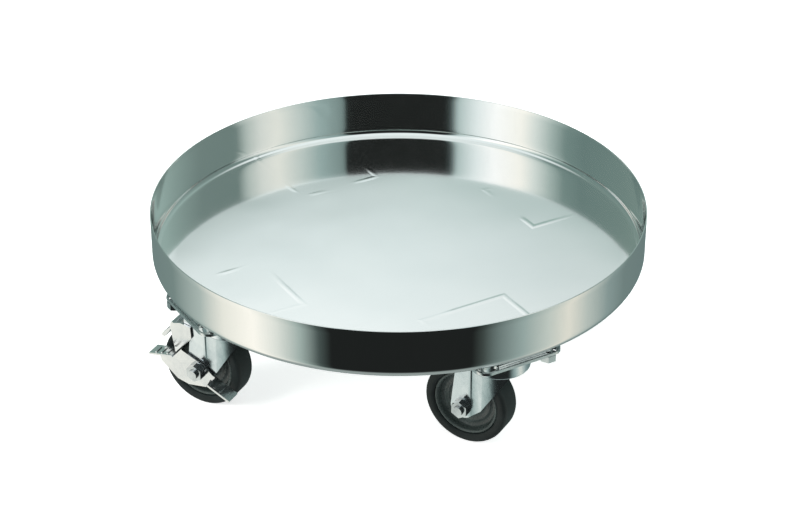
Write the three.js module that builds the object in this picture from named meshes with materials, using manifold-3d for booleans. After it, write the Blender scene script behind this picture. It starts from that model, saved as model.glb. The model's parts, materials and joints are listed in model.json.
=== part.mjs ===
// Drum dolly: a shallow stainless pan carried by four swivel casters, two of them with foot brakes.
// Millimetres, +Z up, origin on the floor under the centre of the pan.
// The casters stand on the X and Y axes: those on X have a brake, those on Y have none.
import * as THREE from "three";
import { mergeVertices } from "three/addons/utils/BufferGeometryUtils.js";
import Module from "manifold-3d";

const wasm = await Module();
wasm.setup();

const GAP = 0.3; // clearance between pieces that touch

// Pan: deep-drawn sheet, sized for a 585 mm drum.
const PAN_R = 300;
const PAN_SHEET = 1.5;
const PAN_BOTTOM_Z = 155;
const PAN_HEIGHT = 62;
const PAN_CORNER_R = 10;

// Caster positions and the resting direction of each leading edge, in degrees.
const CASTER_R = 230;
const CASTERS = [
  { tag: "xneg", azimuth: 180, leading: -57, braked: true },
  { tag: "yneg", azimuth: -90, leading: -59, braked: false },
  { tag: "xpos", azimuth: 0, leading: 123, braked: true },
  { tag: "ypos", azimuth: 90, leading: 121, braked: false },
];

// Caster plates: radial length along local X, tangential width along local Y, a little off centre.
const PLATE_LENGTH = 130;
const PLATE_WIDTH = 112;
const PLATE_CORNER_R = 14;
const PLATE_OUT = 2;
const PLATE_SHIFT = 10;
const MOUNT_LENGTH = 124;
const MOUNT_WIDTH = 104;
const MOUNT_PLATE_T = 2;
const MOUNT_PLATE_Z = PAN_BOTTOM_Z - GAP - MOUNT_PLATE_T;
const TOP_PLATE_T = 3.4;
const TOP_PLATE_Z = MOUNT_PLATE_Z - GAP - TOP_PLATE_T;
const SLOT_X = 57;
const SLOT_Y = 40;
const SLOT_R = 5.5;
const SLOT_HALF_TRAVEL = 3;
const STUD_Y = 38;
const STUD_R = 4.9;
const STUD_END_Z = 139.7;
const STUD_NUT_H = 8;
const STUD_NUT_AF = 17;

// Swivel: balls between a race ring under the top plate and the crown of the fork.
const RACE_R_IN = 20.5;
const RACE_R_OUT = 28.5;
const RACE_DROP = 2;
const BALL_R = 3.05;
const BALL_PITCH_R = 24.5;
const BALL_COUNT = 8;
const CAGE_HALF_W = 1;
const BALL_Z = TOP_PLATE_Z - RACE_DROP - GAP - BALL_R;
const CROWN_TOP_Z = BALL_Z - BALL_R - GAP;
const CROWN_T = 4;
const CROWN_R = 37;
const CROWN_SKIRT_T = 3;
const CROWN_SKIRT_Z = 111.5;
const CROWN_LIP_T = 2.6;
const CROWN_LIP_Z = TOP_PLATE_Z - 1.2;
const KINGPIN_R = 7;
const KINGPIN_HEAD_R = 10;
const KINGPIN_HEAD_H = 1.7;
const KINGPIN_NUT_AF = 22;
const KINGPIN_NUT_H = 8;
const KINGPIN_END_Z = 124;

// Wheel: centre behind the swivel axis by the trail.
const WHEEL_R = 53;
const TRAIL = 35;
const TIRE_HALF_W = 16;
const TIRE_SHOULDER_R = 4.5;
const TIRE_R_IN = 41.3;
const RIM_R = 41;
const RIM_HALF_W = 14;
const RIM_R_IN = 37;
const WEB_HALF_T = 5;
const HUB_R = 18;
const HUB_HALF_W = 16.8;
const ROLLER_R = 1.6;
const ROLLER_PITCH_R = 11;
const ROLLER_HALF_L = 13;
const ROLLER_COUNT = 6;
const HUB_BORE_R = 12.9;
const SLEEVE_R = 9;
const AXLE_R = 6;
const AXLE_AF = 19;

// Fork: one pressed sheet, a flat leg on each side of the wheel and a web that curves round in front.
const FORK_HALF_W = 21.8;
const FORK_INNER_W = 18;
const FORK_BACK_X = -53;
const FORK_BOSS_R = 15.5;
const FORK_TOP_Z = CROWN_TOP_Z - 2;
const LEG_WAIST = { x: -45.7, z: 98, shoulderZ: 112 };
const LEG_FRONT_X = -25;
const LEG_TOE = { x: -12, z: 52, rise: (302.7 * Math.PI) / 180 };
const WEB_HALF_W = 21;
const WEB_BEND_X = -10;
const WEB_REACH = 39.5;
const WEB_SHEET = 3;
const WEB_SLOPE = (57.7 * Math.PI) / 180;

// Brake: a rocking lever on the axle carries a bar that rides down a ramp on the shoe.
const LEVER_TILT = 16.9;
const LEVER_Y = FORK_HALF_W + 0.6;
const LEVER_T = 2.5;
const LEVER_BAR_ANGLE = (122 * Math.PI) / 180;
const LEVER_BAR_ORBIT = 63.5;
const LEVER_BAR_R = 3.5;
const LEVER_OUTLINE = [
  [-71.5, 105],
  [-68, 110],
  [-57, 113],
  [-43, 110],
  [-42, 95],
  [-56, 79],
  [-57, 75],
  [-27.4, 61.5],
  [-15, 50.5],
  [-11, 48.5],
  [17.5, 34],
  [15.5, 30],
  [-18, 44],
  [-24.7, 31.5],
  [-48.8, 28.7],
  [-64.1, 32.9],
  [-78.9, 45.8],
  [-86.3, 52.3],
  [-89.5, 71],
  [-66, 75],
];
const PEDAL_LENGTH = 33;
const PEDAL_WIDTH = 20;
const PEDAL_T = 2.6;
const PEDAL_RIBS = 3;
const REAR_PEDAL = { reach: -44.2, rise: 8, slope: -25.5 };
const FRONT_PEDAL = { reach: 40.2, rise: -0.8, slope: 10 };
const SHOE_PIN = { x: -44.3, z: 116, r: 3 };
const SHOE_HALF_W = 15;
const SPRING_R = 4.6;
const SPRING_WIRE_R = 0.7;
const SPRING_TURNS = 4;

const AXLE_X = -TRAIL;
const AXLE_Z = WHEEL_R;

// ---------------------------------------------------------------- solids

const solid = (geometry) => {
  const g = geometry.index ? geometry.toNonIndexed() : geometry;
  g.deleteAttribute("normal");
  g.deleteAttribute("uv");
  const merged = mergeVertices(g, 1e-4);
  const mesh = new wasm.Mesh({
    numProp: 3,
    vertProperties: Float32Array.from(merged.attributes.position.array),
    triVerts: Uint32Array.from(merged.index.array),
  });
  return new wasm.Manifold(mesh);
};

const join = (bodies) => bodies.reduce((sum, body) => sum.add(body));
const cut = (body, tools) => tools.reduce((rest, tool) => rest.subtract(tool), body);

// Ring or disc turned about Y from a closed list of [radius, y] points.
const turned = (points, segments) => {
  const profile = points.map(([r, y]) => new THREE.Vector2(r, y));
  const onAxis = points[0][0] === 0;
  if (!onAxis) profile.push(profile[0].clone());
  return new THREE.LatheGeometry(profile, segments);
};

// The same, turned about Z.
const turnedZ = (points, segments) => turned(points, segments).rotateX(Math.PI / 2);

// Rectangular ring section between two radii and two heights.
const ringSection = (rIn, rOut, low, high) => [
  [rIn, low],
  [rOut, low],
  [rOut, high],
  [rIn, high],
];

// Cylinder or hexagon along Z between two heights.
const postZ = (r, low, high, segments) =>
  new THREE.CylinderGeometry(r, r, high - low, segments)
    .rotateX(Math.PI / 2)
    .translate(0, 0, (low + high) / 2);

// Cylinder or hexagon along Y between two stations.
const postY = (r, low, high, segments) =>
  new THREE.CylinderGeometry(r, r, high - low, segments).translate(0, (low + high) / 2, 0);

const hexR = (acrossFlats) => acrossFlats / Math.sqrt(3);

// Outline in X and Y, extruded up from one height to another.
const slabZ = (shape, low, high, curveSegments) =>
  new THREE.ExtrudeGeometry(shape, { depth: high - low, bevelEnabled: false, curveSegments })
    .translate(0, 0, low);

// Outline in X and Z, extruded across from one Y station to another.
const slabY = (shape, low, high, curveSegments) =>
  new THREE.ExtrudeGeometry(shape, { depth: high - low, bevelEnabled: false, curveSegments })
    .rotateX(Math.PI / 2)
    .translate(0, high, 0);

const roundedRect = (length, width, r) => {
  const x = length / 2;
  const y = width / 2;
  const s = new THREE.Shape();
  s.moveTo(x, y - r);
  s.absarc(x - r, y - r, r, 0, Math.PI / 2, false);
  s.absarc(-x + r, y - r, r, Math.PI / 2, Math.PI, false);
  s.absarc(-x + r, -y + r, r, Math.PI, 1.5 * Math.PI, false);
  s.absarc(x - r, -y + r, r, 1.5 * Math.PI, 2 * Math.PI, false);
  return s;
};

// Slot with round ends, long along the second axis of its outline.
const slotShape = (x, y, halfTravel, r) => {
  const s = new THREE.Shape();
  s.moveTo(x + r, y - halfTravel);
  s.lineTo(x + r, y + halfTravel);
  s.absarc(x, y + halfTravel, r, 0, Math.PI, false);
  s.lineTo(x - r, y - halfTravel);
  s.absarc(x, y - halfTravel, r, Math.PI, 2 * Math.PI, false);
  return s;
};

const signs = [-1, 1];
const corners = signs.flatMap((sx) => signs.map((sy) => [sx, sy]));

// ---------------------------------------------------------------- pan

const arc = (cx, cy, r, from, to, steps) =>
  Array.from({ length: steps + 1 }, (_, i) => {
    const a = from + ((to - from) * i) / steps;
    return [cx + r * Math.cos(a), cy + r * Math.sin(a)];
  });

const makePan = () => {
  const bottom = PAN_BOTTOM_Z;
  const rim = PAN_BOTTOM_Z + PAN_HEIGHT;
  const cx = PAN_R - PAN_CORNER_R;
  const cz = bottom + PAN_CORNER_R;
  const profile = [
    [0, bottom],
    ...arc(cx, cz, PAN_CORNER_R, -Math.PI / 2, 0, 4),
    ...arc(PAN_R - PAN_SHEET / 2, rim - PAN_SHEET / 2, PAN_SHEET / 2, 0, Math.PI, 2),
    ...arc(cx, cz, PAN_CORNER_R - PAN_SHEET, 0, -Math.PI / 2, 4),
    [0, bottom + PAN_SHEET],
  ];
  return solid(turnedZ(profile, 84));
};

// ---------------------------------------------------------------- fixed caster pieces

const plateHoles = (shift) =>
  corners.map(([sx, sy]) => ({ x: PLATE_OUT + sx * SLOT_X, y: shift + sy * SLOT_Y, sx, sy }));

// One outer slot of each caster plate holds no stud: the one on the side the plate is moved to.
const isFree = (hole, shift) => hole.sx > 0 && hole.sy === Math.sign(shift);

// Backing plate with its three weld studs, each carrying its nut under the caster plate.
const makeMountPlate = (shift) => {
  const outline = roundedRect(MOUNT_LENGTH, MOUNT_WIDTH, PLATE_CORNER_R);
  const blank = solid(slabZ(outline, MOUNT_PLATE_Z, MOUNT_PLATE_Z + MOUNT_PLATE_T, 2));
  const holes = plateHoles(shift);
  const free = holes.find((hole) => isFree(hole, shift));
  const window = slotShape(free.x, free.y, SLOT_HALF_TRAVEL + 1, SLOT_R + 1);
  const plate = cut(blank.translate([0, shift, 0]), [
    solid(postZ(KINGPIN_HEAD_R + 2, 145, 160, 16)),
    solid(slabZ(window, 145, 160, 3)),
  ]);
  const nutTop = TOP_PLATE_Z - GAP;
  const fasteners = holes.filter((hole) => !isFree(hole, shift)).map(({ x, sy }) => {
    const stud = postZ(STUD_R, STUD_END_Z, MOUNT_PLATE_Z + 1, 8);
    const nut = postZ(hexR(STUD_NUT_AF), nutTop - STUD_NUT_H, nutTop, 6);
    const at = [x, shift + sy * STUD_Y, 0];
    return solid(stud.translate(...at)).add(solid(nut.translate(...at)));
  });
  return join([plate, ...fasteners]);
};

// Slotted top plate of the caster with the upper ball race pressed in its underside.
const makeTopPlate = (shift) => {
  const blank = roundedRect(PLATE_LENGTH, PLATE_WIDTH, PLATE_CORNER_R);
  const slab = solid(slabZ(blank, TOP_PLATE_Z, TOP_PLATE_Z + TOP_PLATE_T, 2));
  const race = ringSection(RACE_R_IN, RACE_R_OUT, TOP_PLATE_Z - RACE_DROP, TOP_PLATE_Z + 1);
  const bore = solid(postZ(KINGPIN_R + GAP, 140, 160, 16));
  const slots = plateHoles(shift).map(({ x, y }) =>
    solid(slabZ(slotShape(x, y, SLOT_HALF_TRAVEL, SLOT_R), 145, 160, 3)),
  );
  const plate = slab.translate([PLATE_OUT, shift, 0]).add(solid(turnedZ(race, 24)));
  return cut(plate, [bore, ...slots]);
};

const makeSwivelBalls = () => {
  const cage = ringSection(
    BALL_PITCH_R - CAGE_HALF_W,
    BALL_PITCH_R + CAGE_HALF_W,
    BALL_Z - CAGE_HALF_W / 2,
    BALL_Z + CAGE_HALF_W / 2,
  );
  const balls = Array.from({ length: BALL_COUNT }, (_, i) => {
    const ball = new THREE.SphereGeometry(BALL_R, 6, 4).rotateX(Math.PI / 2);
    ball.translate(BALL_PITCH_R, 0, BALL_Z).rotateZ((2 * Math.PI * i) / BALL_COUNT);
    return solid(ball);
  });
  return join([solid(turnedZ(cage, BALL_COUNT)), ...balls]);
};

const makeKingpin = () => {
  const headLow = TOP_PLATE_Z + TOP_PLATE_T + GAP;
  const profile = [
    [0, KINGPIN_END_Z],
    [KINGPIN_R, KINGPIN_END_Z],
    [KINGPIN_R, headLow],
    [KINGPIN_HEAD_R, headLow],
    [KINGPIN_HEAD_R, headLow + KINGPIN_HEAD_H],
    [0, headLow + KINGPIN_HEAD_H],
  ];
  return solid(turnedZ(profile, 16));
};

const makeKingpinNut = () => {
  const top = CROWN_TOP_Z - CROWN_T - GAP;
  const body = solid(postZ(hexR(KINGPIN_NUT_AF), top - KINGPIN_NUT_H, top, 6));
  return body.subtract(solid(postZ(KINGPIN_R + GAP, top - 20, top + 5, 16)));
};

// ---------------------------------------------------------------- fork and wheel

const forkSideOutline = () => {
  const s = new THREE.Shape();
  const frontX = WEB_BEND_X + WEB_REACH + 1;
  s.moveTo(AXLE_X - FORK_BOSS_R, AXLE_Z);
  s.absarc(AXLE_X, AXLE_Z, FORK_BOSS_R, Math.PI, LEG_TOE.rise, false);
  s.lineTo(LEG_TOE.x, LEG_TOE.z);
  s.lineTo(frontX, LEG_TOE.z + (frontX - LEG_TOE.x) * Math.tan(WEB_SLOPE));
  s.lineTo(frontX, FORK_TOP_Z);
  s.absarc(FORK_BACK_X + 8, FORK_TOP_Z - 8, 8, Math.PI / 2, Math.PI, false);
  s.lineTo(FORK_BACK_X, LEG_WAIST.shoulderZ);
  s.lineTo(LEG_WAIST.x, LEG_WAIST.z);
  s.lineTo(AXLE_X - FORK_BOSS_R, AXLE_Z);
  return s;
};

// Each leg stands a little proud of the web, with a short step down where they meet.
const forkPlanOutline = () => {
  const back = FORK_BACK_X - 5;
  const half = Math.PI / 2;
  const stepX = LEG_FRONT_X + 2;
  const s = new THREE.Shape();
  s.moveTo(back, -FORK_HALF_W);
  s.lineTo(LEG_FRONT_X, -FORK_HALF_W);
  s.lineTo(stepX, -WEB_HALF_W);
  s.absellipse(WEB_BEND_X, 0, WEB_REACH, WEB_HALF_W, -half, half, false, 0);
  s.lineTo(stepX, WEB_HALF_W);
  s.lineTo(LEG_FRONT_X, FORK_HALF_W);
  s.lineTo(back, FORK_HALF_W);
  s.lineTo(back, FORK_INNER_W);
  s.absellipse(WEB_BEND_X, 0, WEB_REACH - WEB_SHEET, FORK_INNER_W, half, -half, true, 0);
  s.lineTo(back, -FORK_INNER_W);
  return s;
};

const makeFork = (braked) => {
  const under = CROWN_TOP_Z - CROWN_T;
  const lipIn = CROWN_R - CROWN_LIP_T;
  const skirtIn = CROWN_R - CROWN_SKIRT_T;
  const bowl = [
    [KINGPIN_R + GAP, under],
    [skirtIn, under],
    [skirtIn, CROWN_SKIRT_Z],
    [CROWN_R - 1.4, CROWN_SKIRT_Z],
    [CROWN_R, CROWN_SKIRT_Z + 1.8],
    [CROWN_R, CROWN_LIP_Z],
    [lipIn, CROWN_LIP_Z],
    [lipIn, CROWN_TOP_Z],
    [KINGPIN_R + GAP, CROWN_TOP_Z],
  ];
  const wall = solid(slabZ(forkPlanOutline(), 20, FORK_TOP_Z + 5, 6));
  const side = solid(slabY(forkSideOutline(), -FORK_HALF_W - 5, FORK_HALF_W + 5, 6));
  const legs = wall.intersect(side);
  const across = FORK_HALF_W + 9;
  const bore = postY(AXLE_R + GAP, -across, across, 16).translate(AXLE_X, 0, AXLE_Z);
  const tools = [solid(bore)];
  if (braked) {
    const eye = postY(SHOE_PIN.r + GAP, -across, across, 12);
    tools.push(solid(eye.translate(SHOE_PIN.x, 0, SHOE_PIN.z)));
  }
  return cut(join([solid(turnedZ(bowl, 32)), legs]), tools);
};

// Bolt, nut and sleeve lie on the wheel axis; a brake lever under the head and nut moves them out.
const clampFace = (braked) => (braked ? LEVER_Y + LEVER_T + GAP : FORK_HALF_W + GAP);

const makeAxleBolt = (braked) => {
  const face = clampFace(braked);
  const shank = solid(postY(AXLE_R, -face - 14, face + 1, 16));
  const head = solid(postY(hexR(AXLE_AF), face, face + 7.5, 6));
  return shank.add(head).translate([AXLE_X, 0, AXLE_Z]);
};

const makeAxleNut = (braked) => {
  const face = clampFace(braked);
  const nut = solid(postY(hexR(AXLE_AF), -face - 10, -face, 6));
  const collar = solid(postY(AXLE_AF / 2 + 1.6, -face - 1.6, -face, 16));
  const bore = solid(postY(AXLE_R + GAP, -face - 15, -face + 5, 16));
  return nut.add(collar).subtract(bore).translate([AXLE_X, 0, AXLE_Z]);
};

const makeAxleSleeve = () => {
  const half = FORK_INNER_W - GAP;
  const section = ringSection(AXLE_R + GAP, SLEEVE_R, -half, half);
  return solid(turned(section, 16).translate(AXLE_X, 0, AXLE_Z));
};

const makeRollerBearing = () => {
  const ring = (low, high) => solid(turned(ringSection(10.2, 11.8, low, high), 12));
  const rollers = Array.from({ length: ROLLER_COUNT }, (_, i) => {
    const roller = postY(ROLLER_R, -ROLLER_HALF_L, ROLLER_HALF_L, 6);
    roller.translate(ROLLER_PITCH_R, 0, 0).rotateY((2 * Math.PI * i) / ROLLER_COUNT);
    return solid(roller);
  });
  const ends = [ring(-ROLLER_HALF_L + 1, -ROLLER_HALF_L + 3), ring(ROLLER_HALF_L - 3, ROLLER_HALF_L - 1)];
  return join([...ends, ...rollers]).translate([AXLE_X, 0, AXLE_Z]);
};

const makeWheelCore = () => {
  const half = [
    [HUB_BORE_R, HUB_HALF_W],
    [HUB_R, HUB_HALF_W],
    [HUB_R + 1, WEB_HALF_T],
    [RIM_R_IN - 1, WEB_HALF_T],
    [RIM_R_IN + 0.5, RIM_HALF_W],
    [RIM_R, RIM_HALF_W],
  ];
  const mirrored = half.map(([r, y]) => [r, -y]);
  const section = [...mirrored, ...half.reverse()];
  return solid(turned(section, 30).translate(AXLE_X, 0, AXLE_Z));
};

const makeTire = () => {
  const half = [
    ...arc(WHEEL_R - TIRE_SHOULDER_R, TIRE_HALF_W - TIRE_SHOULDER_R, TIRE_SHOULDER_R, 0, Math.PI / 2, 2),
    [TIRE_R_IN, TIRE_HALF_W - 1.5],
  ];
  const mirrored = half.map(([r, y]) => [r, -y]).reverse();
  return solid(turned([...mirrored, ...half], 36).translate(AXLE_X, 0, AXLE_Z));
};

// ---------------------------------------------------------------- brake

const polar = (angle, r) => [AXLE_X + r * Math.cos(angle), AXLE_Z + r * Math.sin(angle)];
const degrees = (a) => (a * Math.PI) / 180;

// Pedal in the lever's own frame, where X runs along the rocking arm from the axle.
const makePedal = ({ reach, rise, slope }) => {
  const plate = new THREE.BoxGeometry(PEDAL_LENGTH, PEDAL_WIDTH, PEDAL_T);
  const ribs = Array.from({ length: PEDAL_RIBS }, (_, i) => {
    const x = (i - (PEDAL_RIBS - 1) / 2) * 8;
    return new THREE.BoxGeometry(2, PEDAL_WIDTH - 8, 2).translate(x, -1, PEDAL_T / 2);
  });
  const centreY = -LEVER_Y - 1 - PEDAL_WIDTH / 2;
  return join(
    [plate, ...ribs].map((g) =>
      solid(g.rotateY(degrees(slope)).translate(reach, centreY, rise)),
    ),
  );
};

const makeLever = () => {
  const [barX, barZ] = polar(LEVER_BAR_ANGLE, LEVER_BAR_ORBIT);
  const outline = new THREE.Shape(LEVER_OUTLINE.map(([x, z]) => new THREE.Vector2(x, z)));
  const nearPlate = solid(slabY(outline, -LEVER_Y - LEVER_T, -LEVER_Y, 6));
  const farArm = new THREE.Shape();
  const spread = degrees(90);
  farArm.absarc(AXLE_X, AXLE_Z, 11, LEVER_BAR_ANGLE + spread, LEVER_BAR_ANGLE - spread, false);
  farArm.absarc(barX, barZ, 7, LEVER_BAR_ANGLE - spread, LEVER_BAR_ANGLE + spread, false);
  const farPlate = solid(slabY(farArm, LEVER_Y, LEVER_Y + LEVER_T, 8));
  const bar = postY(LEVER_BAR_R, -LEVER_Y - 1, LEVER_Y + 1, 14).translate(barX, 0, barZ);
  const pedals = [REAR_PEDAL, FRONT_PEDAL].map((pedal) =>
    makePedal(pedal).rotate([0, LEVER_TILT, 0]).translate([AXLE_X, 0, AXLE_Z]),
  );
  const bore = postY(AXLE_R + GAP, -40, 40, 20).translate(AXLE_X, 0, AXLE_Z);
  return join([nearPlate, farPlate, solid(bar), ...pedals]).subtract(solid(bore));
};

// Shoe: a plate on a pin between the legs, thickened into a pad where it meets the tread.
const makeShoe = () => {
  const points = [
    polar(degrees(101), 68),
    polar(degrees(122), 59.3),
    polar(degrees(135), 60.9),
    polar(degrees(150), 63.4),
    polar(degrees(153), 61.5),
    polar(degrees(152), 58),
    polar(degrees(140), 57.6),
    polar(degrees(137), 58.6),
    polar(degrees(122), 56.8),
    polar(degrees(104), 58.8),
  ];
  const outline = new THREE.Shape(points.map(([x, z]) => new THREE.Vector2(x, z)));
  const plate = solid(slabY(outline, -SHOE_HALF_W, SHOE_HALF_W, 4));
  const eye = postY(SHOE_PIN.r + 2.4, -6, 6, 18).translate(SHOE_PIN.x, 0, SHOE_PIN.z);
  const bore = postY(SHOE_PIN.r + GAP, -30, 30, 18).translate(SHOE_PIN.x, 0, SHOE_PIN.z);
  const relief = signs.map((sy) =>
    solid(postY(SPRING_R + 2.4, sy > 0 ? 6 : -20, sy > 0 ? 20 : -6, 18)
      .translate(SHOE_PIN.x, 0, SHOE_PIN.z)),
  );
  return cut(plate.add(solid(eye)), [solid(bore), ...relief]);
};

const makeShoePin = () => {
  const half = FORK_HALF_W;
  return solid(postY(SHOE_PIN.r, -half, half, 16).translate(SHOE_PIN.x, 0, SHOE_PIN.z));
};

// Torsion spring on the shoe pin, beside the eye of the shoe.
const makeShoeSpring = () => {
  const steps = SPRING_TURNS * 10;
  const pitch = 2 * SPRING_WIRE_R + GAP;
  const coil = Array.from({ length: steps + 1 }, (_, i) => {
    const a = (2 * Math.PI * i) / 10;
    const y = 8 + (pitch * i) / 10;
    return new THREE.Vector3(SPRING_R * Math.cos(a), y, SPRING_R * Math.sin(a));
  });
  const path = new THREE.CatmullRomCurve3(coil);
  const wire = new THREE.Shape().absarc(0, 0, SPRING_WIRE_R, 0, 2 * Math.PI, false);
  const geometry = new THREE.ExtrudeGeometry(wire, {
    extrudePath: path,
    steps,
    curveSegments: 3,
    bevelEnabled: false,
  });
  return solid(geometry.translate(SHOE_PIN.x, 0, SHOE_PIN.z));
};

// ---------------------------------------------------------------- looks

const LOOKS = {
  stainless: { color: 0xc9ccc8, roughness: 0.12, metalness: 1 },
  zinc: { color: 0xbfc6cc, roughness: 0.35, metalness: 1 },
  bearing: { color: 0x8f9499, roughness: 0.25, metalness: 1 },
  spring: { color: 0x6f7478, roughness: 0.4, metalness: 1 },
  core: { color: 0x4b4e52, roughness: 0.45, metalness: 0 },
  rubber: { color: 0x1c1d1f, roughness: 0.75, metalness: 0 },
};

const dolly = new THREE.Group();
dolly.name = "drum_dolly";

const place = (name, body, look, matrix) => {
  const { vertProperties, triVerts, numProp } = body.getMesh();
  const positions = new Float32Array((vertProperties.length / numProp) * 3);
  for (let i = 0; i < positions.length / 3; i++) {
    positions.set(vertProperties.subarray(i * numProp, i * numProp + 3), i * 3);
  }
  const geometry = new THREE.BufferGeometry();
  geometry.setAttribute("position", new THREE.BufferAttribute(positions, 3));
  geometry.setIndex(new THREE.BufferAttribute(triVerts, 1));
  geometry.applyMatrix4(matrix);
  geometry.computeVertexNormals();
  const mesh = new THREE.Mesh(geometry, new THREE.MeshStandardMaterial(LOOKS[look]));
  mesh.name = name;
  dolly.add(mesh);
};

place("pan", makePan(), "stainless", new THREE.Matrix4());

const shared = {
  swivelBalls: makeSwivelBalls(),
  kingpin: makeKingpin(),
  kingpinNut: makeKingpinNut(),
  axleSleeve: makeAxleSleeve(),
  rollerBearing: makeRollerBearing(),
  wheelCore: makeWheelCore(),
  tire: makeTire(),
};

for (const { tag, azimuth, leading, braked } of CASTERS) {
  const out = degrees(azimuth);
  const centre = new THREE.Vector3(CASTER_R * Math.cos(out), CASTER_R * Math.sin(out), 0);
  const plateFrame = new THREE.Matrix4().makeRotationZ(out).setPosition(centre);
  const forkFrame = new THREE.Matrix4().makeRotationZ(degrees(leading)).setPosition(centre);
  const shift = braked ? PLATE_SHIFT : -PLATE_SHIFT;
  const pieces = [
    ["mount_plate", makeMountPlate(shift), "zinc", plateFrame],
    ["top_plate", makeTopPlate(shift), "zinc", plateFrame],
    ["swivel_balls", shared.swivelBalls, "bearing", plateFrame],
    ["kingpin", shared.kingpin, "zinc", plateFrame],
    ["kingpin_nut", shared.kingpinNut, "zinc", plateFrame],
    ["fork", makeFork(braked), "zinc", forkFrame],
    ["axle_bolt", makeAxleBolt(braked), "zinc", forkFrame],
    ["axle_nut", makeAxleNut(braked), "zinc", forkFrame],
    ["axle_sleeve", shared.axleSleeve, "bearing", forkFrame],
    ["roller_bearing", shared.rollerBearing, "bearing", forkFrame],
    ["wheel_core", shared.wheelCore, "core", forkFrame],
    ["tire", shared.tire, "rubber", forkFrame],
  ];
  if (braked) {
    pieces.push(
      ["brake_lever", makeLever(), "zinc", forkFrame],
      ["brake_shoe", makeShoe(), "zinc", forkFrame],
      ["shoe_pin", makeShoePin(), "zinc", forkFrame],
      ["shoe_spring", makeShoeSpring(), "spring", forkFrame],
    );
  }
  for (const [kind, body, look, matrix] of pieces) {
    place(kind + "_" + tag, body, look, matrix);
  }
}

export default dolly;
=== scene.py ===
import json
import math

import bmesh
import bpy
from mathutils import Matrix, Vector


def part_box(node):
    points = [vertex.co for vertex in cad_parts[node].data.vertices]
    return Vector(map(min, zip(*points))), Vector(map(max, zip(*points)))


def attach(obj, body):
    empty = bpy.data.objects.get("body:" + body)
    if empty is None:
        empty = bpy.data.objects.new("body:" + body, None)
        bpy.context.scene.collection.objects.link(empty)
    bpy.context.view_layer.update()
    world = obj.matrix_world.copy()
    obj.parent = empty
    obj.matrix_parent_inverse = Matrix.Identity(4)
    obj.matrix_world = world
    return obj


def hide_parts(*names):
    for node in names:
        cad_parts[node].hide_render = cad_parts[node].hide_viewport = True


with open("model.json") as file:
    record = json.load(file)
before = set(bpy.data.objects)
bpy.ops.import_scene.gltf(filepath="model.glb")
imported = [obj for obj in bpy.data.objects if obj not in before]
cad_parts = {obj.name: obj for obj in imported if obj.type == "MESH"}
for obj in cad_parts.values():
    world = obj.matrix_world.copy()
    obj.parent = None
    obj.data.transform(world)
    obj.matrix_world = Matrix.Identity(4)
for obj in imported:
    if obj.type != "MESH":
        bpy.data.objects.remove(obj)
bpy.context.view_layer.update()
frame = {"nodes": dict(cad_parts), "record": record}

CASTERS = ("xneg", "yneg", "xpos", "ypos")
BRAKED = ("xneg", "xpos")

VIEW_AZIMUTH = math.radians(-120.33)   # direction from the dolly to the camera
VIEW_ELEVATION = math.radians(30.23)
VIEW_DISTANCE = 2.725
LENS_MM = 99.5
TARGET_DROP = 0.0284    # the camera looks at a point this far under the pan
TARGET_ASIDE = 0.0018

pan_low, pan_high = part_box("pan")
PAN_R = (pan_high.x - pan_low.x) / 2
SHEET = 0.0015
CORNER_R = 0.010
FLOOR_RINGS = (0, 0.10, 0.20)     # radii that keep the flat floor's faces short
FLAT_MARGIN = 0.020               # flat floor left before the corner starts
WALL_START = 0.004                # straight wall above the corner
WALL_END = 0.008                  # straight wall below the rim
FLOOR_TOP_Z = pan_low.z + 0.004   # the pan's own metal below this height is its floor
PAN_STEPS = 288

# Half sections of a wheel, as (radius, distance from the middle) in millimetres.
WHEEL_STEPS = 108
TIRE_HALF_W = 16.0
TIRE_SHOULDER = 4.5
TIRE_BEAD = [(41.3, 14.5), (42.2, 15.0), (43.4, 15.7), (45.5, 15.95)]
CORE_HUB = [(12.9, 16.8), (16.8, 16.8), (17.7, 16.3), (18.3, 14.0), (19.0, 6.6)]
CORE_DISC = [(20.6, 5.3), (25.6, 5.0), (26.6, 5.7), (28.4, 5.7), (29.4, 5.0), (34.4, 5.1)]
CORE_RIM = [(35.8, 6.2), (36.7, 9.4), (37.3, 12.6), (38.1, 13.8), (39.4, 14.2), (40.5, 13.9),
            (41.0, 13.0)]

CRISP_ANGLE = math.radians(42)    # edges sharper than this stay crisp
WELD_GAP = 0.000002               # corners closer than this are one

# What polished metal mirrors all round the dolly, as (degrees, colour): 0 is the camera's side and
# positive is to its right. The two dark gaps lie on the camera's side.
DARK = (0.014, 0.016, 0.0155)
GREY = (0.15, 0.21, 0.205)
LOW_TONES = (
    (-179, GREY),
    (-128, (0.19, 0.26, 0.245)),
    (-104, (0.42, 0.50, 0.47)),
    (-88, (0.86, 0.86, 0.78)),
    (-70, (1.08, 1.05, 0.96)),
    (-58, (0.80, 0.83, 0.77)),
    (-46, (0.38, 0.47, 0.44)),
    (-37, (0.07, 0.095, 0.09)),
    (-31, DARK),
    (34, DARK),
    (39, (0.05, 0.065, 0.06)),
    (46, (0.15, 0.20, 0.19)),
    (59, (0.32, 0.41, 0.39)),
    (73, (0.56, 0.62, 0.57)),
    (85, (0.78, 0.77, 0.68)),
    (97, (0.50, 0.56, 0.52)),
    (113, (0.25, 0.33, 0.32)),
    (128, (0.17, 0.235, 0.225)),
    (160, GREY),
    (179, GREY),
)
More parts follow.
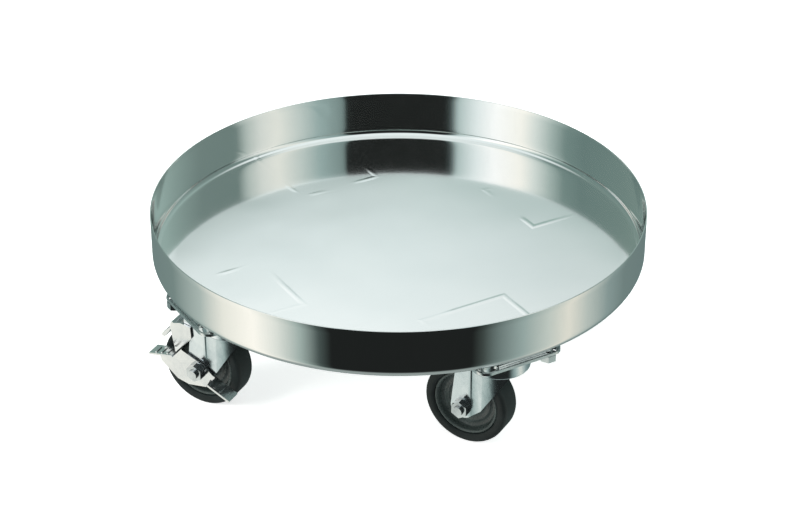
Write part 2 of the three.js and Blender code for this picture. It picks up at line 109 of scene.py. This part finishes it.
HIGH_TONES = (
    (-179, (0.20, 0.285, 0.26)),
    (-150, (0.20, 0.285, 0.26)),
    (-100, (0.16, 0.24, 0.225)),
    (-88, (0.20, 0.29, 0.27)),
    (-79, (0.45, 0.55, 0.52)),
    (-70, (0.80, 0.86, 0.82)),
    (-62, (1.15, 1.12, 1.04)),
    (-48, (1.2, 1.2, 1.19)),
    (-38, (0.88, 0.96, 0.96)),
    (-29, (0.50, 0.62, 0.61)),
    (-26, (0.06, 0.08, 0.08)),
    (-23, DARK),
    (25.5, DARK),
    (27, (0.21, 0.29, 0.28)),
    (39, (0.34, 0.46, 0.45)),
    (50, (0.61, 0.69, 0.66)),
    (61, (0.86, 0.88, 0.82)),
    (70, (0.75, 0.79, 0.75)),
    (79, (0.48, 0.56, 0.53)),
    (85, (0.17, 0.24, 0.225)),
    (110, (0.18, 0.25, 0.235)),
    (150, (0.33, 0.45, 0.42)),
    (179, (0.33, 0.45, 0.42)),
)
HORIZON = (-0.10, 0.14)           # heights between which the low tones turn into the high ones
ROUND_BOX_UP = math.radians(38.2)
ROUND_BOX_R = math.radians(10.24)
ROUND_BOX_EDGE = 0.0004           # softness of its edge, in cosine
ROUND_BOX_GLOW = (
    (0.45, (0.68, 0.78, 0.78)),
    (0.50, (0.78, 0.88, 0.88)),
    (0.535, (0.97, 1.03, 1.03)),
)
ROUND_BOX_SLOPE = (
    (0.1, (1.07, 1.06, 1.06)),
    (0.5, (1.0, 1.0, 1.0)),
    (0.9, (0.83, 0.84, 0.84)),
)
CEILING = (0.72, 0.86, (0.85, 0.93, 0.93))
GROUND = (-0.92, -0.66, (0.30, 0.35, 0.34))

# Name, degrees round from the camera's direction, degrees up, distance, size, watts, colour.
SOFT_BOXES = (
    ("key_box", -62, 34, 2.4, 1.1, 30, (1.0, 0.98, 0.95)),
    ("fill_box", 75, 30, 2.6, 1.1, 14, (0.96, 1.0, 1.0)),
    ("top_box", 180, 52, 2.4, 1.4, 16, (0.96, 1.0, 1.0)),
)


# ---------------------------------------------------------------- node helpers

class Nodes:
    """Short calls for building one node tree."""

    def __init__(self, tree):
        self.tree = tree
        tree.nodes.clear()

    def add(self, kind, **settings):
        node = self.tree.nodes.new(kind)
        for key, value in settings.items():
            setattr(node, key, value)
        return node

    def put(self, socket, value):
        if isinstance(value, bpy.types.NodeSocket):
            self.tree.links.new(value, socket)
        elif value is not None:
            socket.default_value = value

    def math(self, operation, a, b=None, c=None):
        node = self.add("ShaderNodeMath", operation=operation)
        for i, value in enumerate((a, b, c)):
            self.put(node.inputs[i], value)
        return node.outputs[0]

    def smooth(self, value, low, high):
        """0 below low and 1 above high, with a soft step between them."""
        node = self.add("ShaderNodeMapRange", interpolation_type="SMOOTHSTEP")
        self.put(node.inputs["Value"], value)
        node.inputs["From Min"].default_value = low
        node.inputs["From Max"].default_value = high
        return node.outputs[0]

    def between(self, value, low, high):
        """A 0 to 1 value spread over low to high."""
        node = self.add("ShaderNodeMapRange")
        self.put(node.inputs["Value"], value)
        node.inputs["To Min"].default_value = low
        node.inputs["To Max"].default_value = high
        return node.outputs[0]

    def ramp(self, value, stops):
        node = self.add("ShaderNodeValToRGB")
        ramp = node.color_ramp
        while len(ramp.elements) > 1:
            ramp.elements.remove(ramp.elements[-1])
        ramp.elements[0].position = stops[0][0]
        ramp.elements[0].color = (*stops[0][1], 1)
        for position, colour in stops[1:]:
            ramp.elements.new(position).color = (*colour, 1)
        self.put(node.inputs[0], value)
        return node.outputs[0]

    def mix(self, factor, a, b, blend="MIX"):
        node = self.add("ShaderNodeMix", data_type="RGBA", blend_type=blend)
        self.put(node.inputs[0], factor)
        self.put(node.inputs[6], a if isinstance(a, bpy.types.NodeSocket) else (*a, 1))
        self.put(node.inputs[7], b if isinstance(b, bpy.types.NodeSocket) else (*b, 1))
        return node.outputs[2]

    def noise(self, vector, scale, detail=3.0, roughness=0.5):
        node = self.add("ShaderNodeTexNoise")
        self.put(node.inputs["Vector"], vector)
        node.inputs["Scale"].default_value = scale
        node.inputs["Detail"].default_value = detail
        node.inputs["Roughness"].default_value = roughness
        return node.outputs[0]

    def bump(self, height, strength, distance, normal=None):
        node = self.add("ShaderNodeBump")
        node.inputs["Strength"].default_value = strength
        node.inputs["Distance"].default_value = distance
        self.put(node.inputs["Height"], height)
        self.put(node.inputs["Normal"], normal)
        return node.outputs[0]


def new_material(name):
    """A new material, its node helper, its shader and the coordinates its patterns use."""
    material = bpy.data.materials.new(name)
    material.use_nodes = True
    n = Nodes(material.node_tree)
    output = n.add("ShaderNodeOutputMaterial")
    shader = n.add("ShaderNodeBsdfPrincipled")
    n.put(output.inputs[0], shader.outputs[0])
    coords = n.add("ShaderNodeTexCoord").outputs["Object"]
    return material, n, shader, coords


def stretched(n, coords, scale):
    node = n.add("ShaderNodeMapping")
    n.put(node.inputs["Vector"], coords)
    node.inputs["Scale"].default_value = scale
    return node.outputs[0]


# ---------------------------------------------------------------- studio

def towards(azimuth, elevation):
    """Unit vector that points azimuth round from +X and elevation up, both in radians."""
    return Vector((math.cos(azimuth) * math.cos(elevation),
                   math.sin(azimuth) * math.cos(elevation),
                   math.sin(elevation)))


def all_round(rows):
    """Ramp stops from rows of (degrees, colour)."""
    return [((degrees + 180) / 360, colour) for degrees, colour in rows]


def studio_world():
    """A pale studio: a dark gap on the camera's side, a soft box each side of it, and a round soft
    box high up behind the dolly. The camera itself sees plain white."""
    world = bpy.data.worlds.new("studio")
    bpy.context.scene.world = world
    world.use_nodes = True
    n = Nodes(world.node_tree)
    turn = n.add("ShaderNodeVectorRotate", rotation_type="Z_AXIS")
    n.put(turn.inputs["Vector"], n.add("ShaderNodeTexCoord").outputs["Generated"])
    turn.inputs["Angle"].default_value = -math.pi / 2 - VIEW_AZIMUTH
    parts = n.add("ShaderNodeSeparateXYZ")
    n.put(parts.inputs[0], turn.outputs[0])
    x, y, z = parts.outputs
    around = n.math("ARCTAN2", x, n.math("MULTIPLY", y, -1.0))
    t = n.math("MULTIPLY_ADD", around, 1 / (2 * math.pi), 0.5)
    low = n.ramp(t, all_round(LOW_TONES))
    high = n.ramp(t, all_round(HIGH_TONES))
    sides = n.mix(n.smooth(z, *HORIZON), low, high)

    away = n.add("ShaderNodeVectorMath", operation="DOT_PRODUCT")
    n.put(away.inputs[0], turn.outputs[0])
    away.inputs[1].default_value = (0, math.cos(ROUND_BOX_UP), math.sin(ROUND_BOX_UP))
    edge = math.cos(ROUND_BOX_R)
    inside = n.smooth(away.outputs["Value"], edge - ROUND_BOX_EDGE, edge + ROUND_BOX_EDGE)
    slope = n.ramp(n.math("MULTIPLY_ADD", x, 5.0, 0.5), ROUND_BOX_SLOPE)
    glow = n.mix(1.0, n.ramp(z, ROUND_BOX_GLOW), slope, "MULTIPLY")
    lit = n.mix(inside, sides, glow)

    top_start, top_end, ceiling = CEILING
    base_start, base_end, ground = GROUND
    top = n.mix(n.smooth(z, top_start, top_end), lit, ceiling)
    base = n.mix(n.smooth(z, base_start, base_end), ground, top)
    seen = n.add("ShaderNodeLightPath").outputs["Is Camera Ray"]
    background = n.add("ShaderNodeBackground")
    n.put(background.inputs[0], n.mix(seen, base, (1.0, 1.0, 1.0)))
    output = n.add("ShaderNodeOutputWorld")
    n.put(output.inputs[0], background.outputs[0])


def studio_floor():
    """A plain pale floor just under the wheels, which the metal doesn't mirror."""
    bpy.ops.mesh.primitive_circle_add(vertices=96, radius=6, fill_type="NGON",
                                      location=(0, 0, -0.0006))
    floor = bpy.context.object
    floor.name = "studio_floor"
    material, n, shader, coords = new_material("studio_floor")
    tone = n.ramp(n.noise(coords, 0.8), [(0.3, (0.93, 0.935, 0.935)), (0.7, (0.96, 0.96, 0.96))])
    n.put(shader.inputs["Base Color"], tone)
    shader.inputs["Roughness"].default_value = 0.9
    shader.inputs["Specular IOR Level"].default_value = 0.1
    shader.inputs["Emission Color"].default_value = (1, 1, 1, 1)
    shader.inputs["Emission Strength"].default_value = 0.72
    floor.data.materials.append(material)
    floor.visible_glossy = False


def studio_lights():
    """Soft boxes for the matt parts. The metal already mirrors the studio, so they stay out of it."""
    for name, azimuth, elevation, distance, size, watts, colour in SOFT_BOXES:
        data = bpy.data.lights.new(name, "AREA")
        data.shape = "DISK"
        data.size = size
        data.energy = watts
        data.color = colour
        lamp = bpy.data.objects.new(name, data)
        bpy.context.scene.collection.objects.link(lamp)
        place = towards(VIEW_AZIMUTH + math.radians(azimuth), math.radians(elevation)) * distance
        lamp.location = place
        lamp.rotation_euler = place.to_track_quat("Z", "Y").to_euler()
        lamp.visible_glossy = False


def studio_camera():
    data = bpy.data.cameras.new("camera")
    data.sensor_width = 36
    data.lens = LENS_MM
    camera = bpy.data.objects.new("camera", data)
    bpy.context.scene.collection.objects.link(camera)
    aside = Vector((-math.sin(VIEW_AZIMUTH), math.cos(VIEW_AZIMUTH), 0)) * TARGET_ASIDE
    target = Vector((0, 0, pan_low.z - TARGET_DROP)) + aside
    back = towards(VIEW_AZIMUTH, VIEW_ELEVATION)
    camera.location = target + back * VIEW_DISTANCE
    camera.rotation_euler = back.to_track_quat("Z", "Y").to_euler()
    bpy.context.scene.camera = camera


# ---------------------------------------------------------------- materials

def polished_steel():
    """Mirror-polished stainless: faint smears, a fine grain, a slow wave and a hazier floor."""
    material, n, shader, coords = new_material("polished_stainless")
    shader.inputs["Metallic"].default_value = 1.0
    smear = n.noise(coords, 5.0, 3.0, 0.55)
    tint = n.ramp(smear, [(0.3, (0.885, 0.90, 0.895)), (0.7, (0.93, 0.935, 0.925))])
    grain = n.noise(stretched(n, coords, (40, 900, 40)), 1.0, 2.0, 0.5)
    fine = n.ramp(grain, [(0.35, (0.985, 0.985, 0.985)), (0.65, (1.0, 1.0, 1.0))])
    n.put(shader.inputs["Base Color"], n.mix(1.0, tint, fine, "MULTIPLY"))
    rubbed = n.between(n.noise(coords, 16.0, 4.0, 0.6), 0.035, 0.075)
    height = n.add("ShaderNodeSeparateXYZ")
    n.put(height.inputs[0], coords)
    on_floor = n.math("LESS_THAN", height.outputs[2], FLOOR_TOP_Z)
    n.put(shader.inputs["Roughness"], n.math("MULTIPLY_ADD", on_floor, 0.05, rubbed))
    waved = n.bump(n.noise(coords, 7.0, 1.0, 0.4), 0.5, 0.0006)
    n.put(shader.inputs["Normal"], n.bump(plate_marks(n, coords), 0.24, 0.0005, waved))
    return material


def plate_marks(n, coords):
    """Faint lines pressed into the pan's floor along the edges of the caster plates below it."""
    parts = n.add("ShaderNodeSeparateXYZ")
    n.put(parts.inputs[0], coords)
    x, y, z = parts.outputs

    def past_edge(value, low, high):
        """Distance outside the span from low to high, negative inside it."""
        off_middle = n.math("ABSOLUTE", n.math("SUBTRACT", value, (low + high) / 2))
        return n.math("SUBTRACT", off_middle, (high - low) / 2)

    total = 0.0
    for tag in CASTERS:
        low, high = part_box("top_plate_" + tag)
        past = n.math("MAXIMUM", past_edge(x, low.x, high.x), past_edge(y, low.y, high.y))
        total = n.math("ADD", total, n.smooth(n.math("ABSOLUTE", past), 0.005, 0.0005))
    patchy = n.smooth(n.noise(coords, 11.0, 1.0, 0.5), 0.46, 0.60)
    on_floor = n.math("LESS_THAN", z, FLOOR_TOP_Z)
    return n.math("MULTIPLY", n.math("MULTIPLY", total, patchy), on_floor)


def zinc(name, light, dark, low, high):
    """Bright plated steel: a mottle from dark to light, and a roughness from low to high."""
    material, n, shader, coords = new_material(name)
    shader.inputs["Metallic"].default_value = 1.0
    patch = n.noise(coords, 38.0, 4.0, 0.6)
    n.put(shader.inputs["Base Color"], n.ramp(patch, [(0.32, dark), (0.62, light)]))
    speck = n.noise(coords, 240.0, 2.0, 0.5)
    n.put(shader.inputs["Roughness"], n.between(speck, low, high))
    dents = n.noise(coords, 70.0, 3.0, 0.5)
    n.put(shader.inputs["Normal"], n.bump(dents, 0.35, 0.0005))
    return material


def rubber():
    """Nearly black rubber with a little dust and a fine moulded skin."""
    material, n, shader, coords = new_material("black_rubber")
    dust = n.noise(coords, 46.0, 5.0, 0.6)
    tone = n.ramp(dust, [(0.3, (0.006, 0.010, 0.010)), (0.7, (0.014, 0.020, 0.020))])
    n.put(shader.inputs["Base Color"], tone)
    n.put(shader.inputs["Roughness"], n.between(dust, 0.42, 0.62))
    shader.inputs["Specular IOR Level"].default_value = 0.32
    skin = n.noise(coords, 900.0, 2.0, 0.5)
    n.put(shader.inputs["Normal"], n.bump(skin, 0.25, 0.0002))
    return material


def core_plastic():
    """Dark grey moulded plastic, a little glossier than the tire."""
    material, n, shader, coords = new_material("dark_core")
    cloud = n.noise(coords, 60.0, 3.0, 0.5)
    tone = n.ramp(cloud, [(0.3, (0.034, 0.046, 0.044)), (0.7, (0.056, 0.072, 0.069))])
    n.put(shader.inputs["Base Color"], tone)
    sheen = n.noise(coords, 300.0, 2.0, 0.5)
    n.put(shader.inputs["Roughness"], n.between(sheen, 0.22, 0.34))
    n.put(shader.inputs["Normal"], n.bump(n.noise(coords, 500.0, 2.0, 0.5), 0.15, 0.0002))
    return material


# ---------------------------------------------------------------- pieces

def turned_piece(name, profile, steps, closed, matrix=None):
    """A mesh turned about Z from (radius, height) points in metres."""
    bm = bmesh.new()
    rings = []
    for r, z in profile:
        if r < 1e-7:
            rings.append([bm.verts.new((0, 0, z))] * steps)
        else:
            rings.append([bm.verts.new((r * math.cos(2 * math.pi * i / steps),
                                        r * math.sin(2 * math.pi * i / steps), z))
                          for i in range(steps)])
    pairs = list(zip(rings, rings[1:]))
    if closed:
        pairs.append((rings[-1], rings[0]))
    for a, b in pairs:
        for i in range(steps):
            j = (i + 1) % steps
            corner = [a[i], a[j], b[j], b[i]]
            unique = [v for k, v in enumerate(corner) if v not in corner[:k]]
            if len(unique) > 2:
                bm.faces.new(unique)
    bmesh.ops.recalc_face_normals(bm, faces=bm.faces)
    mesh = bpy.data.meshes.new(name)
    bm.to_mesh(mesh)
    bm.free()
    if matrix is not None:
        mesh.transform(matrix)
    for polygon in mesh.polygons:
        polygon.use_smooth = True
    piece = bpy.data.objects.new(name, mesh)
    bpy.context.scene.collection.objects.link(piece)
    return piece


def arc(cx, cz, r, start, end, steps):
    """Points of a round stretch about (cx, cz), from angle start to angle end."""
    return [(cx + r * math.cos(start + (end - start) * i / steps),
             cz + r * math.sin(start + (end - start) * i / steps)) for i in range(steps + 1)]


def make_pan(material):
    """The drawn sheet: flat floor, round corner, straight wall and a rounded rim edge."""
    low, high = pan_low.z, pan_high.z
    bend_r = PAN_R - CORNER_R
    half = SHEET / 2
    rings = [*FLOOR_RINGS, bend_r - FLAT_MARGIN]
    wall = [low + CORNER_R + WALL_START, high - WALL_END]
    profile = [(r, low) for r in rings]
    profile += arc(bend_r, low + CORNER_R, CORNER_R, -math.pi / 2, 0, 10)
    profile += [(PAN_R, z) for z in wall]
    profile += arc(PAN_R - half, high - half, half, 0, math.pi, 8)
    profile += [(PAN_R - SHEET, z) for z in reversed(wall)]
    profile += arc(bend_r, low + CORNER_R, CORNER_R - SHEET, 0, -math.pi / 2, 10)
    profile += [(r, low + SHEET) for r in reversed(rings)]
    pan = turned_piece("pan_sheet", profile, PAN_STEPS, False)
    pan.data.materials.append(material)
    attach(pan, "dolly")
    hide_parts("pan")


def wheel_frame(tag):
    """Matrix that stands a piece turned about Z on the wheel's own axis."""
    joint = next(j for j in frame["record"]["behaviour"]["joints"] if j["name"] == "roll_" + tag)
    turn = Vector(joint["axis"]).to_track_quat("Z", "Y").to_matrix().to_4x4()
    return Matrix.Translation(Vector(joint["pos_m"])) @ turn


def both_sides(half):
    """Closed profile from its upper half, in millimetres, mirrored across the wheel's middle."""
    points = half + [(r, -y) for r, y in reversed(half)]
    return [(r / 1000, y / 1000) for r, y in points]


def make_wheel(tag, tire_material, core_material):
    """One wheel's tire and core, turned about its own axis."""
    low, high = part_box("tire_" + tag)
    radius = (high.z - low.z) * 500
    corner = arc(radius - TIRE_SHOULDER, TIRE_HALF_W - TIRE_SHOULDER, TIRE_SHOULDER,
                 0, math.pi / 2, 8)
    tire_half = TIRE_BEAD + corner[::-1]
    core_half = CORE_HUB + CORE_DISC + CORE_RIM
    for name, half, material, node, slot in (
            ("tire_ring_", tire_half, tire_material, "tire_", "tire_rubber"),
            ("core_disc_", core_half, core_material, "wheel_core_", "wheel_core")):
        piece = turned_piece(name + tag, both_sides(half), WHEEL_STEPS, True, wheel_frame(tag))
        piece.data.materials.append(material)
        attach(piece, "wheel_" + tag)
        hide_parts(node + tag)


def dress(node, material):
    """A CAD node's own shape, smooth over its curves and crisp at its edges, in a real material."""
    obj = frame["nodes"][node]
    obj.data.materials.clear()
    obj.data.materials.append(material)
    for polygon in obj.data.polygons:
        polygon.use_smooth = True
    joined = obj.modifiers.new("joined_faces", "WELD")
    joined.merge_threshold = WELD_GAP
    crisp = obj.modifiers.new("crisp_edges", "EDGE_SPLIT")
    crisp.split_angle = CRISP_ANGLE
    obj.modifiers.new("even_shading", "WEIGHTED_NORMAL")


studio_camera()
studio_world()
studio_floor()
studio_lights()

steel = polished_steel()
plate_zinc = zinc("plate_zinc", (0.86, 0.89, 0.90), (0.62, 0.66, 0.68), 0.18, 0.30)
fork_zinc = zinc("fork_zinc", (0.90, 0.95, 0.98), (0.74, 0.81, 0.85), 0.12, 0.22)
brake_zinc = zinc("brake_zinc", (0.98, 0.98, 0.98), (0.86, 0.87, 0.89), 0.15, 0.26)
bolt_zinc = zinc("bolt_zinc", (0.80, 0.83, 0.85), (0.45, 0.48, 0.50), 0.14, 0.26)
bearing_steel = zinc("bearing_steel", (0.62, 0.64, 0.66), (0.42, 0.44, 0.46), 0.15, 0.28)
spring_steel = zinc("spring_steel", (0.50, 0.52, 0.54), (0.28, 0.30, 0.32), 0.2, 0.35)
tire_black = rubber()
core_dark = core_plastic()

make_pan(steel)
finishes = {
    "mount_plate": plate_zinc, "top_plate": plate_zinc, "swivel_balls": bearing_steel,
    "kingpin": bolt_zinc, "kingpin_nut": bolt_zinc, "fork": fork_zinc,
    "axle_bolt": bolt_zinc, "axle_nut": bolt_zinc, "axle_sleeve": bearing_steel,
    "roller_bearing": bearing_steel,
}
brake_finishes = {
    "brake_lever": brake_zinc, "brake_shoe": brake_zinc, "shoe_pin": bolt_zinc,
    "shoe_spring": spring_steel,
}
for tag in CASTERS:
    make_wheel(tag, tire_black, core_dark)
    for kind, finish in finishes.items():
        dress(kind + "_" + tag, finish)
    if tag in BRAKED:
        for kind, finish in brake_finishes.items():
            dress(kind + "_" + tag, finish)

bpy.context.scene.view_settings.view_transform = "Standard"
